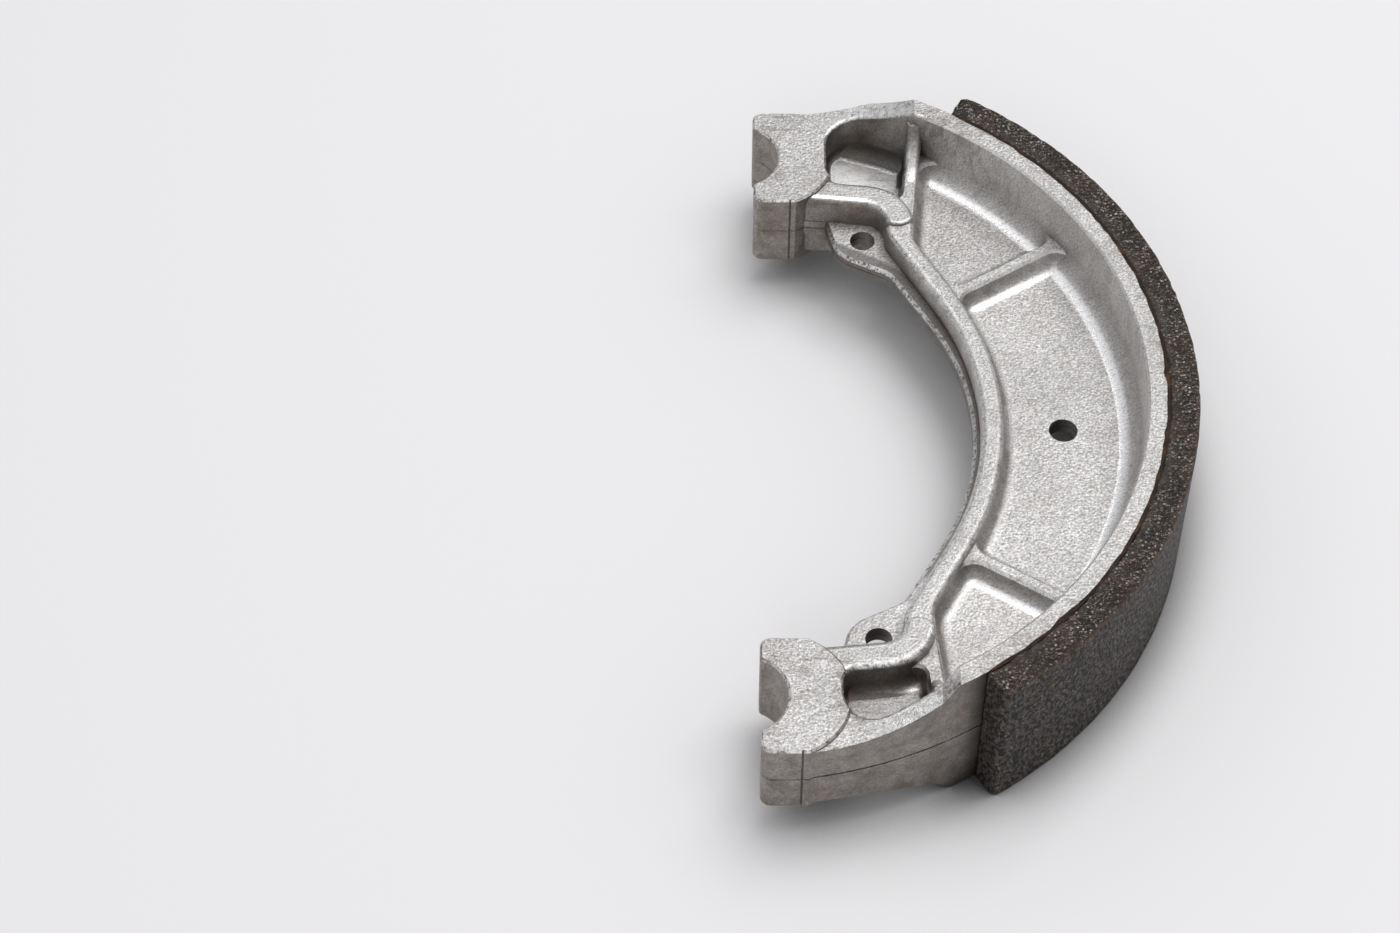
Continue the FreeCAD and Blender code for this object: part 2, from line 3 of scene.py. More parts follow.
import bpy
import numpy as np
from mathutils import Euler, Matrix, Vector


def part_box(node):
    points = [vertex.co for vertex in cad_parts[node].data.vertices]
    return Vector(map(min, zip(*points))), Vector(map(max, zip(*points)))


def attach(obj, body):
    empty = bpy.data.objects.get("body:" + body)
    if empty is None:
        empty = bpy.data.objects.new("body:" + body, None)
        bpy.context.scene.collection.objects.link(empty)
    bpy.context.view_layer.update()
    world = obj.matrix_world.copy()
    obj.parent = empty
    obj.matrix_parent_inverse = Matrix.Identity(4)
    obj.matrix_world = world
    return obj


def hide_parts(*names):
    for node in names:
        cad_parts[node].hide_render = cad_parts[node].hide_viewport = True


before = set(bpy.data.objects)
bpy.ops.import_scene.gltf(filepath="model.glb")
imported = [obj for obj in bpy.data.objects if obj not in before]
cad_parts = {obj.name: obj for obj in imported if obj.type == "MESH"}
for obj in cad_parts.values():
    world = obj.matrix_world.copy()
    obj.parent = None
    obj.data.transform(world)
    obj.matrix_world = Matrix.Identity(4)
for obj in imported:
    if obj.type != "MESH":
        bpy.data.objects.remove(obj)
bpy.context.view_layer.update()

bl_info = {
    "name": "Drum brake shoe",
    "version": (1, 0, 0),
    "blender": (4, 2, 0),
    "location": "View3D > Sidebar > Brake shoe",
    "description": "Dresses a drum brake shoe: cast metal, friction lining, bond line and stage",
    "category": "Add Mesh",
}

MM = 0.001
MID_HEIGHT = 12.5           # height of the shoe's mid-plane, mm

# Soft limits on the shoe in millimetres: a mask is 0 at the first value and 1 at the second
POCKET_FAR = (46.0, 47.0)       # end pockets, along the shoe from its middle
POCKET_BLOCK = (8.0, 10.0)      # end pockets, across, on the end block's side
POCKET_RIB = (26.6, 25.4)       # end pockets, across, on the end rib's side
POCKET_RIM = (59.2, 58.4)       # end pockets, radius at the arm
POCKET_DEPTH = (6.0, 4.0)       # end pockets, height from the mid-plane
INSIDE_ACROSS = (21.0, 30.0)    # space inside the rim, across
INSIDE_RIM = (60.0, 59.2)       # space inside the rim, radius
INSIDE_HEIGHT = (11.0, 14.0)    # space inside the rim, height
RIM_TOP = (58.4, 60.4)          # rim's top, radius, towards the lining
WEB_EDGE = (38.2, 37.6)         # web's inner edge, radius
FAR_END = (-20.0, 20.0)         # from the shoe's near end to its far end, along the shoe
LINING_BOND = (62.6, 61.2)      # lining, radius towards the bond line
LINING_FACE = (64.2, 64.9)      # lining, radius towards the rubbing face
LINING_SCORE = (64.6, 64.85)    # lining, radius of the scored skin
LINING_SIDE = (11.6, 12.45)     # lining, height from the mid-plane to its sides

# Colours under the finish of the casting and the lining, painted shade and painted light among
# them
SHADED_METAL = (0.10, 0.097, 0.094)
# Painted shade on the end pockets' walls, roundings and near floor
SHADED_POCKET = (0.075, 0.073, 0.07)
# Painted light in the coves and on the end pockets' floors
PAINTED_FOOT_LIGHT = (0.97, 0.97, 0.97)
# Painted shade on the web's inner edge
SHADED_WEB_EDGE = (0.16, 0.152, 0.145)
SPECK = (0.20, 0.18, 0.165)
GLINT = (0.96, 0.96, 0.95)
# Painted shade, near black, deep in holes and crevices
CREVICE_SHADE = (0.035, 0.03, 0.027)
SEAM = (0.04, 0.035, 0.03)
BOND_EDGE = (0.095, 0.08, 0.066)
CRUMB = (0.03, 0.026, 0.024)
THICK_GLUE = (0.07, 0.03, 0.012)

# Lining's mesh, in millimetres where a length
CAP_RINGS = 12                  # shrunken rings that close each end
CAP_SCALES = (0.08, 0.96)       # scale of the innermost and the outermost of them
WORN_BAND = 0.7                 # width of the worn strip along an edge
EDGE_WEAR = 0.7                 # share of the wear that moves an edge
ON_SKIN = 0.99                  # nearness from which a point lies on the outer skin
CAP_FADE = 8                    # power of the scale by which wear fades on shrunken rings
CHIP_CELL, CHIP_SEED = 1.4, 11  # noise of the chips: size of its cells, and its seed
GRIT_CELL, GRIT_SEED = 0.8, 23  # noise of the pits

# Bond line's mesh, in millimetres
BOND_CLEAR = 0.005              # space left under the lining
BOND_INSET = 0.03               # space left at the top and the foot
LIP_HEIGHT = 0.065              # height of the pressed-out lip
BOND_STEP = 0.25                # spacing of the rings
LIP_SEEDS = (5, 41)             # seeds of the lip's width at the top and at the foot
LIP_FADE = 1.5                  # distance over which the lip fades at the ends
LIP_LEAST = 0.002               # width that is left of it there

# Lattice noise
LATTICE_VALUES = 4096                           # random values in its table
LATTICE_STEPS = (73856093, 19349663, 83492791)  # large odd numbers that tell the corners apart

# Stage
FLOOR_REACH = 3.0                               # half the width of the floor, m
FLOOR_DROP = 0.05 * MM                          # space under the shoe
DOME_STRENGTH = (0.12, 0.95)                    # light of the dome at the horizon and overhead
DOME_COLOUR = (0.95, 0.95, 0.97, 1.0)
SHOE_MIDDLE = (0.03, 0.0, 0.0)                  # where the lamps point, m
CAMERA_PLACE = (-5.789 * MM, -295.9 * MM, 378.8 * MM)
CAMERA_TIP = math.radians(51.738)               # how far the camera looks down
SENSOR = 36.0                                   # width of the camera's sensor, mm


# Node helpers

class Shader:
    """A material's node tree with short calls for the nodes that the finishes use."""

    def __init__(self, name):
        self.material = bpy.data.materials.new(name)
        self.material.use_nodes = True
        self.tree = self.material.node_tree
        self.tree.nodes.clear()

    def node(self, kind, inputs=None, **settings):
        """New node with its settings made and its inputs linked or filled."""
        made = self.tree.nodes.new(kind)
        for key, value in settings.items():
            setattr(made, key, value)
        for key, value in (inputs or {}).items():
            self.put(made.inputs[key], value)
        return made

    def put(self, socket, value):
        """Links another node's output to the socket, or sets the socket's own value."""
        if isinstance(value, bpy.types.NodeSocket):
            self.tree.links.new(value, socket)
        elif isinstance(value, (tuple, list)) and len(value) == 3 and socket.type == "RGBA":
            socket.default_value = (*value, 1.0)
        else:
            socket.default_value = value

    def math(self, operation, *values):
        """One step of arithmetic on values or outputs."""
        return self.node("ShaderNodeMath", dict(enumerate(values)), operation=operation).outputs[0]

    def product(self, *values):
        """All the values multiplied."""
        total = values[0]
        for value in values[1:]:
            total = self.math("MULTIPLY", total, value)
        return total

    def rest(self, value):
        """What is left of 1."""
        return self.math("SUBTRACT", 1.0, value)

    def larger(self, first, second):
        """The larger of two values."""
        return self.math("MAXIMUM", first, second)

    def diagonal(self, first, second):
        """Root of the sum of two squares."""
        squares = [self.math("POWER", side, 2.0) for side in (first, second)]
        return self.math("POWER", self.math("ADD", *squares), 0.5)

    def faded(self, tone, amount):
        """The tone's distance from 1 times the amount, plus 1."""
        return self.math("MULTIPLY_ADD", self.math("SUBTRACT", tone, 1.0), amount, 1.0)

    def span(self, value, low, high, to_low=0.0, to_high=1.0):
        """Straight-line change of range, held at both ends."""
        inputs = {"Value": value, "From Min": low, "From Max": high,
                  "To Min": to_low, "To Max": to_high}
        return self.node("ShaderNodeMapRange", inputs).outputs[0]

    def mix(self, share, first, second, blend="MIX"):
        """Second colour laid over the first by the share."""
        inputs = {0: share, 6: first, 7: second}
        return self.node("ShaderNodeMix", inputs, data_type="RGBA", blend_type=blend).outputs[2]

    def layered(self, colour, layers):
        """The colour under each (mask, colour) layer in turn."""
        for mask, layer in layers:
            colour = self.mix(mask, colour, layer)
        return colour

    def shaded(self, colour, tone):
        """The colour times one tone for its three parts."""
        grey = self.node("ShaderNodeCombineColor", {0: tone, 1: tone, 2: tone}).outputs[0]
        return self.mix(1.0, colour, grey, "MULTIPLY")

    def place(self):
        """The object's own coordinates, in millimetres."""
        start = self.node("ShaderNodeTexCoord").outputs["Object"]
        return self.turned(start, (1.0 / MM, 1.0 / MM, 1.0 / MM))

    def parts(self, vector):
        """The vector's X, Y and Z."""
        return self.node("ShaderNodeSeparateXYZ", {0: vector}).outputs

    def turned(self, where, scale, turn=(0.0, 0.0, 0.0), shift=(0.0, 0.0, 0.0)):
        """Coordinates scaled, then turned, then shifted."""
        inputs = {"Vector": where, "Scale": scale, "Rotation": turn, "Location": shift}
        return self.node("ShaderNodeMapping", inputs).outputs[0]

    def noise(self, where, scale, detail=2.0, roughness=0.5, distortion=0.0):
        """Noise about 0.5, with so many waves per millimetre."""
        inputs = {"Vector": where, "Scale": scale, "Detail": detail, "Roughness": roughness,
                  "Distortion": distortion}
        return self.node("ShaderNodeTexNoise", inputs).outputs["Fac"]

    def cells(self, where, scale):
        """Distance to the nearest of points strewn about."""
        inputs = {"Vector": where, "Scale": scale}
        return self.node("ShaderNodeTexVoronoi", inputs).outputs["Distance"]

    def relief(self, where, scale, shift, low, high, detail=3.0):
        """Shade of a lumpy skin lit from one side: noise less the same noise a short way off."""
        near = self.noise(where, scale, detail, 0.6)
        far = self.noise(self.turned(where, (1.0, 1.0, 1.0), shift=shift), scale, detail, 0.6)
        return self.span(self.math("SUBTRACT", near, far), -0.11, 0.11, low, high)

    def bump(self, height, distance, strength=1.0, normal=None):
        """Normal tipped by a height, on top of another bump where one is given."""
        inputs = {"Height": height, "Distance": distance, "Strength": strength}
        if normal is not None:
            inputs["Normal"] = normal
        return self.node("ShaderNodeBump", inputs).outputs[0]

    def finish(self, **inputs):
        """Joins the inputs to the surface and gives back the material."""
        inputs = {key.replace("_", " "): value for key, value in inputs.items()}
        shader = self.node("ShaderNodeBsdfPrincipled", inputs)
        self.node("ShaderNodeOutputMaterial", {0: shader.outputs[0]})
        return self.material


class Spot:
    """A shaded point as sockets: its place in millimetres and how its surface stands."""

    def __init__(self, s):
        self.where = s.place()
        place = s.parts(self.where)
        self.across, self.side, self.height = place["X"], place["Y"], place["Z"]
        self.around = s.diagonal(self.across, self.side)
        self.off_mid = s.math("ABSOLUTE", s.math("SUBTRACT", self.height, MID_HEIGHT))
        form = s.node("ShaderNodeNewGeometry").outputs
        self.normal = s.parts(form["Normal"])
        self.level = s.math("ABSOLUTE", self.normal["Z"])
        self.bend = form["Pointiness"]


# Sizes and colours that a user may change

def length(name, about, millimetres):
    """A length that the panel shows, with its default in millimetres."""
    return bpy.props.FloatProperty(name=name, description=about, default=millimetres * MM,
                                   subtype="DISTANCE", unit="LENGTH", precision=5)


def spread(about, degrees):
    """An angle from the middle of the lining, with its default in degrees."""
    return bpy.props.FloatProperty(name="Half angle", description=about,
                                   default=math.radians(degrees), subtype="ANGLE", unit="ROTATION")


def tint(name, about, value):
    """A colour that the panel shows."""
    return bpy.props.FloatVectorProperty(name=name, description=about, default=value, size=3,
                                         subtype="COLOR", min=0.0, max=1.0)


class CastingFinish(bpy.types.PropertyGroup):
    metal: tint("Metal", "Colour of the clean cast metal", (0.79, 0.773, 0.758))
    # Upright walls are painted in this darker colour as shade
    wall: tint("Wall", "Colour of the duller upright walls", (0.33, 0.307, 0.285))
    dirt: tint("Dirt", "Colour of the brown brake dust", (0.17, 0.125, 0.095))
    patch: bpy.props.FloatProperty(name="Patches", description="Brightness of the duller patches",
                                   default=0.9, min=0.0, max=1.0)
    grain: bpy.props.FloatProperty(name="Grain",
                                   description="Grains of the cast skin per millimetre",
                                   default=2.9, min=0.2, max=10.0)


class LiningFinish(bpy.types.PropertyGroup):
    thickness: length("Thickness", "Thickness of the lining", 4.15)
    half_angle: spread("Angle from the middle of the lining to one end", 58.0)
    corner: length("Corner", "Radius of the outer corner at each end", 0.8)
    bevel: length("Bevel", "Bevel along the outer edges", 0.25)
    step: length("Step", "Spacing of the surface's points", 0.42)
    chip: length("Chips", "Depth of the largest chips along the edges", 0.35)
    grit: length("Grit", "Depth of the pits all over", 0.06)
    base: tint("Base", "Colour of the moulded friction material", (0.021, 0.0178, 0.0152))
    fleck: tint("Fleck", "Colour of the metal and mineral flecks", (0.34, 0.30, 0.26))
    rust: tint("Rust", "Colour of the rusty edge", (0.13, 0.082, 0.050))


class BondFinish(bpy.types.PropertyGroup):
    glue: tint("Glue", "Colour of the cured adhesive", (0.018, 0.011, 0.008))
    layer: length("Layer", "Thickness of the bond line", 0.23)
    spill: length("Spill", "Usual width of the adhesive pressed out over the rim", 0.26)
    blob: length("Blobs", "Extra width at the lumps", 0.5)
    half_angle: spread("Angle from the middle of the bond to one end", 57.7)


class StageSetting(bpy.types.PropertyGroup):
    floor: tint("Floor", "Colour of the floor", (0.80, 0.79, 0.795))
    lens: bpy.props.FloatProperty(name="Lens", description="Focal length in millimetres",
                                  default=83.58)


# Cast metal

class CastingSpot(Spot):
    """A point on the casting, with what several of its layers share."""

    def __init__(self, s):
        super().__init__(s)
        self.along = s.math("ABSOLUTE", self.side)
        self.upright = s.span(self.level, 0.72, 0.985, 1.0, 0.0)
        self.open_sky = s.node("ShaderNodeAmbientOcclusion", {"Distance": 3.0 * MM},
                               samples=5).outputs["AO"]
        self.far_end = s.span(self.side, *FAR_END)
        self.pocket = s.product(
            s.span(self.along, *POCKET_FAR), s.span(self.across, *POCKET_RIB),
            s.span(self.around, *POCKET_RIM), s.span(self.off_mid, *POCKET_DEPTH),
            s.span(self.across, *POCKET_BLOCK))
        # Upright walls inside the rim are painted lighter, with less of the painted wall shade;
        # less so on the bead's walls, and not low down, where the painted shade stays
        self.inside = s.product(
            s.span(self.across, *INSIDE_ACROSS), s.span(self.around, *INSIDE_RIM),
            s.span(self.around, 46.0, 54.0, 0.55, 1.0), s.span(self.height, *INSIDE_HEIGHT))
        # Share of painted shade on the upright walls, smaller inside the rim
        self.wall_shade = s.product(self.upright, s.span(self.inside, 0.0, 1.0, 1.0, 0.35))
        self.cloud = s.noise(self.where, 0.11, 4.0, 0.62)
        self.smear = s.noise(s.turned(self.where, (0.5, 1.6, 0.5), (0.0, 0.0, 0.5)),
                             0.5, 4.0, 0.65, 0.8)
        self.pit = s.cells(self.where, 1.5)


def cast_skin(s, at, sizes, grain):
    """Bare metal with painted shade on the upright walls, most on the outer walls, in a tone of
    grain, patches, smears and relief.
    """
    wall = s.mix(at.inside, tuple(sizes.wall), tuple(sizes.metal))
    colour = s.mix(at.upright, tuple(sizes.metal), wall)
    tone = s.product(
        s.span(grain, 0.34, 0.66, 0.64, 1.16),
        s.span(at.cloud, 0.4, 0.66, 1.0, sizes.patch),
        s.span(at.smear, 0.35, 0.65, 0.94, 1.04),
        # Painted shade of the skin's relief, as if lit from one side
        s.relief(at.where, sizes.grain, (0.1, -0.16, -0.1), 0.84, 1.14))
    tone = s.faded(tone, s.span(at.upright, 0.0, 1.0, 1.1, 0.6))
    blotch = s.span(s.noise(at.where, 0.35, 5.0, 0.65, 0.4), 0.36, 0.64, 0.78, 1.2)
    return s.shaded(colour, s.product(tone, s.faded(blotch, at.wall_shade)))


def hollow_shade(s, at):
    """Shade in the hollows, on surfaces that lean."""
    return s.product(s.span(at.open_sky, 0.985, 0.88), s.span(at.level, 0.87, 0.76, 0.0, 0.45))


def pocket_shade(s, at):
    """Shade on the walls and the roundings of the end pockets, and on the near one's floor."""
    walls = s.product(at.pocket, s.span(at.level, 0.988, 0.95, 0.0, 0.9),
                      s.span(at.level, 0.0, 0.2, 0.45, 1.0))
    return s.larger(walls, s.product(at.pocket, s.span(at.far_end, 0.0, 1.0, 0.4, 0.0)))


def cove_light(s, at):
    """Light in the concave roundings that face the drum axis or the front."""
    concave = s.larger(s.span(at.open_sky, 0.995, 0.95), s.span(at.bend, 0.499, 0.493))
    outwards = s.math("ADD", s.product(at.normal["X"], at.across),
                      s.product(at.normal["Y"], at.side))
    lit = s.larger(s.span(outwards, -1.0, -5.0, 0.15, 1.0), s.span(at.normal["Y"], -0.05, -0.25))
    return s.product(s.span(at.level, 0.82, 0.9), s.rest(at.pocket), concave,
                     s.span(at.level, 0.9998, 0.995), lit)


def foot_light(s, at, cove):
    """Light in the coves and on the end pockets' floors, broken up a little."""
    floor = s.product(at.pocket, s.span(at.level, 0.985, 0.995),
                      s.span(at.far_end, 0.0, 1.0, 0.2, 1.0))
    broken = s.span(s.noise(at.where, 1.6, 3.0, 0.7), 0.36, 0.5, 0.7, 1.0)
    return s.product(s.larger(cove, floor), broken)


def web_edge_shade(s, at):
    """Shade on the web's inner edge, close to the mid-plane."""
    return s.product(s.span(at.around, *WEB_EDGE), s.span(at.off_mid, 2.1, 1.7, 0.0, 0.75))


def rim_dirt(s, at):
    """Patches of dirt on the rim's top, beside the lining."""
    patches = s.span(s.noise(at.where, 0.45, 4.0, 0.7), 0.51, 0.65, 0.0, 0.5)
    return s.product(s.span(at.around, *RIM_TOP), s.span(at.level, 0.5, 0.8), patches)


def specks(s, at):
    """Small dark pits, and short scratches in two directions."""
    speck = s.product(s.span(at.pit, 0.16, 0.08),
                      s.span(s.noise(at.where, 0.9, 2.0), 0.45, 0.6, 0.0, 0.75))
    for turn in (0.5, 2.1):
        dash = s.noise(s.turned(at.where, (1.0, 3.2, 1.0), (0.0, 0.0, turn)), 1.5, 2.0, 0.6, 0.5)
        speck = s.larger(speck, s.span(dash, 0.60, 0.70, 0.0, 0.5))
    return speck


def edge_glint(s, at):
    """Ragged glint along the open convex edges outside the end pockets."""
    ragged = s.span(s.noise(at.where, 1.7, 3.0, 0.75), 0.4, 0.52)
    return s.product(s.span(at.level, 0.35, 0.6), s.span(at.level, 0.99, 0.95),
                     s.span(at.open_sky, 0.84, 0.95), s.span(at.bend, 0.495, 0.505),
                     s.rest(at.pocket), ragged)


def corner_dust_and_shade(s, at):
    """Brake dust and painted shade in the corners, more of it where the cloud is thick."""
    return s.product(s.span(at.open_sky, 0.8, 0.3, 0.0, 0.85),
                     s.span(at.cloud, 0.38, 0.6, 0.15, 1.0))


def stain(s, at):
    """Smeared dirt, most of it at the shoe's ends and on its outer walls."""
    where_seen = s.larger(s.span(at.along, 41.0, 45.0, 0.4, 1.3), s.product(at.wall_shade, 1.6))
    return s.product(s.span(at.smear, 0.46, 0.62), s.span(at.cloud, 0.42, 0.58, 0.1, 0.4),
                     where_seen)


def parting_seam(s, at):
    """Thin seam on the upright walls, wandering about the mid-plane."""
    wander = s.product(s.math("SUBTRACT", s.noise(at.where, 0.35, 2.0), 0.5), 0.5)
    line = s.span(s.math("ADD", at.off_mid, wander), 0.16, 0.06, 0.0, 0.7)
    return s.product(line, s.span(at.level, 0.4, 0.1))


def cast_metal(sizes):
    """Die-cast metal: bright grained skin on top, painted shade on the upright walls, a painted
    glint on the edges, dust.
    """
    s = Shader("cast metal")
    at = CastingSpot(s)
    dirt = tuple(sizes.dirt)
    grain = s.noise(at.where, sizes.grain, 4.0, 0.7, 0.3)
    fine = s.noise(at.where, sizes.grain * 3.0, 2.0, 0.6)
    cove = cove_light(s, at)
    foot = foot_light(s, at, cove)
    glint = edge_glint(s, at)
    # Layers over the skin: painted shade in the hollows, the end pockets, on the web's inner edge
    # and deep in crevices; painted light in the coves and a painted glint on the edges; brake dust
    # with painted shade in the corners; and real dirt, specks, stains and the seam
    colour = s.layered(cast_skin(s, at, sizes, grain), (
        (hollow_shade(s, at), SHADED_METAL),
        (pocket_shade(s, at), SHADED_POCKET),
        (foot, PAINTED_FOOT_LIGHT),
        (web_edge_shade(s, at), SHADED_WEB_EDGE),
        (rim_dirt(s, at), dirt),
        (specks(s, at), SPECK),
        (s.product(glint, 0.9), GLINT),
        # brake dust and painted shade in the corners
        (corner_dust_and_shade(s, at), dirt),
        # painted shade deep in holes and crevices, where the sky is hidden
        (s.span(at.open_sky, 0.42, 0.16, 0.0, 0.85), CREVICE_SHADE),
        (stain(s, at), dirt),
        (parting_seam(s, at), SEAM),
    ))
    rough = s.math("ADD", s.span(fine, 0.3, 0.7, 0.27, 0.48), s.product(at.upright, 0.1))
    rough = s.math("SUBTRACT", rough, s.product(s.larger(glint, cove), 0.13))
    smooth = s.larger(s.product(at.upright, 0.6), foot)
    normal = s.bump(grain, 0.22 * MM, s.span(smooth, 0.0, 1.0, 0.7, 0.15))
    normal = s.bump(fine, 0.09 * MM, s.span(smooth, 0.0, 1.0, 0.6, 0.1), normal)
    normal = s.bump(s.span(at.pit, 0.05, 0.2), 0.05 * MM, 0.35, normal)
    return s.finish(Base_Color=colour, Metallic=1.0, Roughness=rough, Normal=normal)


# Friction material, adhesive and floor

def times(colour, factor):
    """The colour with each part times the factor."""
    return tuple(part * factor for part in colour)


def fibres(s, at, sizes, colour, amount):
    """The colour under four sets of short pale fibres, each turned its own way, and sparks."""
    for turn, shift, scale in ((0.2, 0.0, 1.5), (0.9, 20.0, 1.2), (1.7, 40.0, 1.7),
                               (2.5, 60.0, 1.35)):
        lead = s.turned(at.where, (0.7, 2.0, 1.1), (turn * 0.7, turn * 0.5, turn),
                        (shift, shift, 0.0))
        strand = s.span(s.noise(lead, scale, 3.0, 0.7, 1.2), 0.62, 0.65)
        colour = s.mix(s.product(strand, amount), colour, tuple(sizes.fleck))
    spark = s.larger(s.span(s.cells(at.where, 1.5), 0.3, 0.2),
                     s.span(s.cells(at.where, 2.6), 0.26, 0.14, 0.0, 0.6))
    return s.mix(s.product(spark, amount), colour, times(sizes.fleck, 1.4))


def relief_shade(s, at, flat):
    """Painted shade of the rough skin's relief, as if lit from one side: strong on the rubbing
    face, less on the flat sides.
    """
    skewed = s.turned(at.where, (1.0, 1.0, 0.7), (0.6, 0.3, 0.0))
    face = s.relief(skewed, 1.6, (0.12, 0.12, 0.3), 0.1, 3.3, 1.5)
    side = s.relief(at.where, 2.0, (0.1, -0.2, 0.0), 0.35, 1.7)
    return s.math("ADD", s.product(face, s.rest(flat)), s.product(side, flat))


def rusty_edge(s, at):
    """Rust along the outer edges, and a faint brown cloud on both sides."""
    side = s.span(at.off_mid, *LINING_SIDE)
    rust = s.product(s.span(at.around, *LINING_FACE), side,
                     s.span(s.noise(at.where, 0.8, 3.0, 0.6), 0.38, 0.6, 0.1, 0.7))
    brown = s.product(side, s.span(s.noise(at.where, 0.2, 3.0), 0.47, 0.65, 0.0, 0.2))
    return s.larger(rust, brown)


def scores(s, at):
    """Fine scores along the rubbing face."""
    score = s.noise(s.turned(at.where, (0.25, 0.25, 3.0), (0.35, 0.0, 0.0)), 1.2, 3.0, 0.6)
    return s.product(s.span(score, 0.62, 0.7, 0.0, 0.35), s.span(at.around, *LINING_SCORE))


def friction_material(sizes):
    """Moulded friction material: dark and gritty, short fibres every way, a rusty outer edge."""
    s = Shader("friction material")
    at = Spot(s)
    flat = s.span(at.level, 0.4, 0.8)
    mottle = s.span(s.noise(at.where, 0.6, 5.0, 0.7), 0.35, 0.7)
    colour = s.mix(mottle, tuple(sizes.base), times(sizes.base, 1.5))
    amount = s.product(s.span(s.noise(at.where, 0.3, 2.0), 0.36, 0.58, 0.35, 1.0),
                       s.span(flat, 0.0, 1.0, 0.12, 0.9))
    colour = fibres(s, at, sizes, colour, amount)
    bond_edge = s.product(s.span(at.around, *LINING_BOND),
                          s.span(s.noise(at.where, 0.6, 4.0, 0.7), 0.4, 0.6, 0.1, 0.75), flat)
    crumb = s.cells(at.where, 1.1)
    # The lining's colour darkened and lightened by the painted relief shade
    colour = s.layered(s.shaded(colour, relief_shade(s, at, flat)), (
        (bond_edge, BOND_EDGE),
        (s.span(crumb, 0.2, 0.1, 0.0, 0.45), CRUMB),
        (rusty_edge(s, at), tuple(sizes.rust)),
        (scores(s, at), times(sizes.base, 3.0)),
    ))
    grit = s.noise(at.where, 3.2, 4.0, 0.75)
    normal = s.bump(s.noise(at.where, 1.5, 3.0, 0.6), 0.5 * MM, 0.9)
    normal = s.bump(grit, 0.3 * MM, 1.0, normal)
    normal = s.bump(s.span(crumb, 0.1, 0.35), 0.15 * MM, 0.8, normal)
    rough = s.span(grit, 0.3, 0.7, 0.38, 0.72)
    return s.finish(Base_Color=colour, Metallic=0.0, Roughness=rough, Specular_IOR_Level=0.3,
                    Normal=normal)


def cured_glue(sizes):
    """Dark brown adhesive, redder where it is thick."""
    s = Shader("cured glue")
    where = s.place()
    thick = s.span(s.noise(where, 0.4, 3.0), 0.5, 0.7)
    colour = s.mix(thick, tuple(sizes.glue), THICK_GLUE)
    rough = s.span(s.noise(where, 2.0), 0.3, 0.7, 0.5, 0.8)
    normal = s.bump(s.noise(where, 3.0), 0.05 * MM, 0.5)
    return s.finish(Base_Color=colour, Roughness=rough, Specular_IOR_Level=0.2, Normal=normal)


def pale_floor(sizes):
    """Matt pale floor with a painted shadow, darker where the shoe hides the sky."""
    s = Shader("pale floor")
    open_sky = s.node("ShaderNodeAmbientOcclusion", {"Distance": 10.0 * MM}, samples=6)
    open_sky = s.span(open_sky.outputs["AO"], 0.34, 0.87)
    # Painted shadow: the floor falls to near black where the shoe hides the sky
    colour = s.mix(open_sky, times(sizes.floor, 0.06), tuple(sizes.floor))
    return s.finish(Base_Color=colour, Roughness=0.9, Specular_IOR_Level=0.1)


def dress(node, material):
    """Gives a solid of the frame its material and leaves its mesh alone."""
    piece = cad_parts[node]
    piece.data.materials.clear()
    piece.data.materials.append(material)


# Surfaces worked out with numpy, in millimetres

def lattice_noise(points, cell, seed):
    """Smooth noise from 0 to 1: random values on a cubic lattice, eased between its corners."""
    table = np.random.default_rng(seed).random(LATTICE_VALUES)
    scaled = points / cell
    base = np.floor(scaled).astype(np.int64)
    part = scaled - base
    part = part * part * (3.0 - 2.0 * part)
    total = np.zeros(len(points))
    for corner in range(8):
        step = np.array([corner & 1, corner >> 1 & 1, corner >> 2 & 1])
        keys = (base + step) @ np.array(LATTICE_STEPS)
        share = np.prod(np.where(step == 1, part, 1.0 - part), axis=1)
        total += share * table[keys % LATTICE_VALUES]
    return total


def layered_noise(points, cell, seed, layers=3):
    """Lattice noise summed over halving cells and heights, from 0 to 1."""
    total, weight = np.zeros(len(points)), 0.0
    for layer in range(layers):
        total += lattice_noise(points, cell / 2 ** layer, seed + layer) / 2 ** layer
        weight += 1.0 / 2 ** layer
    return total / weight


def swept(radius, angle, height):
    """Points about the drum axis: (r cos a, r sin a, z)."""
    return np.stack([radius * np.cos(angle), radius * np.sin(angle), height], axis=-1)


def grid_piece(name, rings, poles, material):
    """Closed skin over a grid of rings: each ring joins its own start, each end is a pole.

    rings has one row of points per ring and poles holds the point at either end.
    """
    count, columns = rings.shape[:2]
    points = np.concatenate([[poles[0]], rings.reshape(-1, 3), [poles[1]]])
    ring = np.arange(count * columns).reshape(count, columns) + 1
    after = np.roll(ring, -1, axis=1)
    quads = np.stack([ring[:-1], after[:-1], after[1:], ring[1:]], axis=-1).reshape(-1, 4)
    last = count * columns + 1
    caps = [(0, int(b), int(a)) for a, b in zip(ring[0], after[0])]
    caps += [(last, int(a), int(b)) for a, b in zip(ring[-1], after[-1])]
    mesh = bpy.data.meshes.new(name)
    mesh.from_pydata((points * MM).tolist(), [], quads.tolist() + caps)
    mesh.polygons.foreach_set("use_smooth", np.ones(len(mesh.polygons), bool))
    mesh.materials.append(material)
    mesh.update()
    piece = bpy.data.objects.new(name, mesh)
    bpy.context.scene.collection.objects.link(piece)
    return piece


